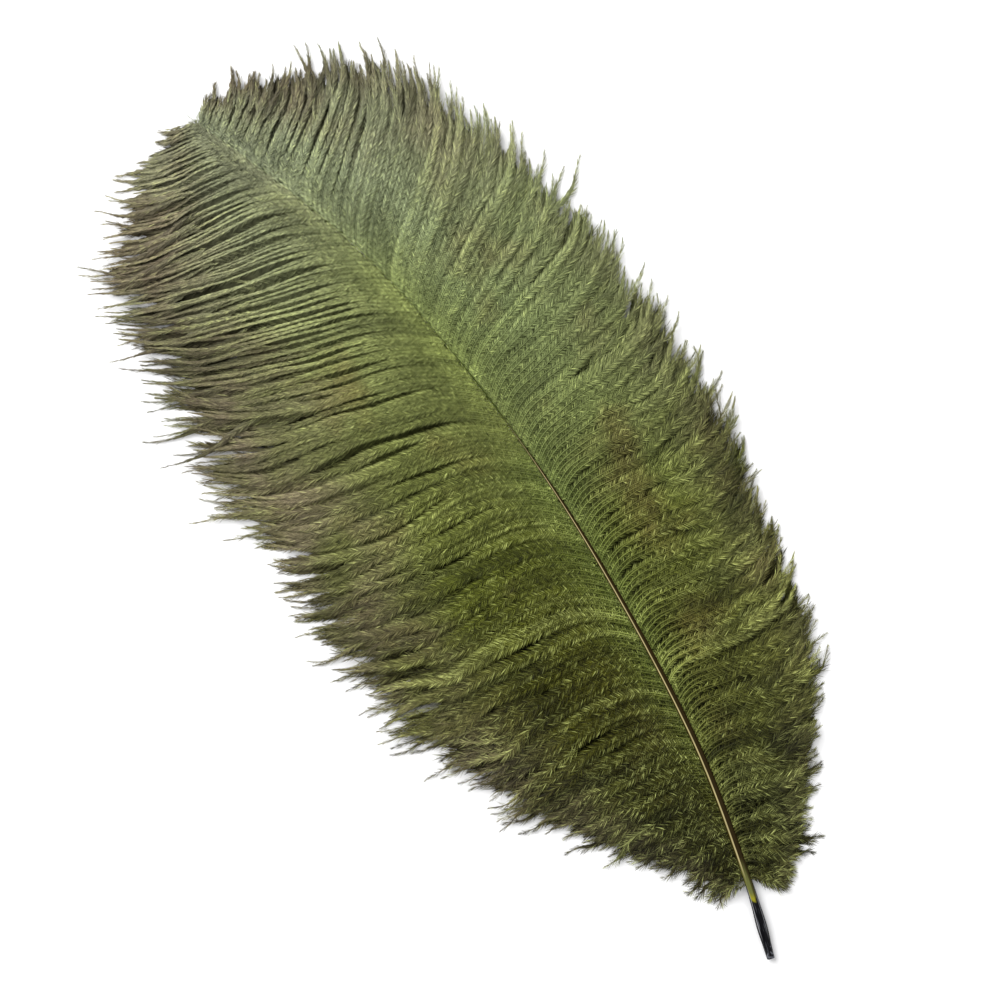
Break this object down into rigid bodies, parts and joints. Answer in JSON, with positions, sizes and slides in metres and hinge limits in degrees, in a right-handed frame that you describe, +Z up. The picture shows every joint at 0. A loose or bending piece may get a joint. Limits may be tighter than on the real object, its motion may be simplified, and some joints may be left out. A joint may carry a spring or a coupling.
{
  "type": "ostrich feather",
  "caption": "Long dyed ostrich plume with a bare black quill, a slender bowed shaft and soft vanes of drooping barbs that gather into pointed locks, lying flat on its underside.",
  "frame": {"origin": "middle of the plume's outline, on the surface it lies on", "axes": "+Y from the quill's cut end towards the plume's tip, +Z up out of the side that shows, +X towards the narrower vane"},
  "size_m": [0.2026, 0.4019, 0.0123],
  "materials": {
    "vane": "soft matt dyed barbs, olive green with greyer ends",
    "shaft": "smooth horn dyed olive brown, satin",
    "quill": "black dyed horn, scuffed and softly glossy"
  },
  "bodies": {
    "root": {"feather": "vane"}
  },
  "joints": []
}
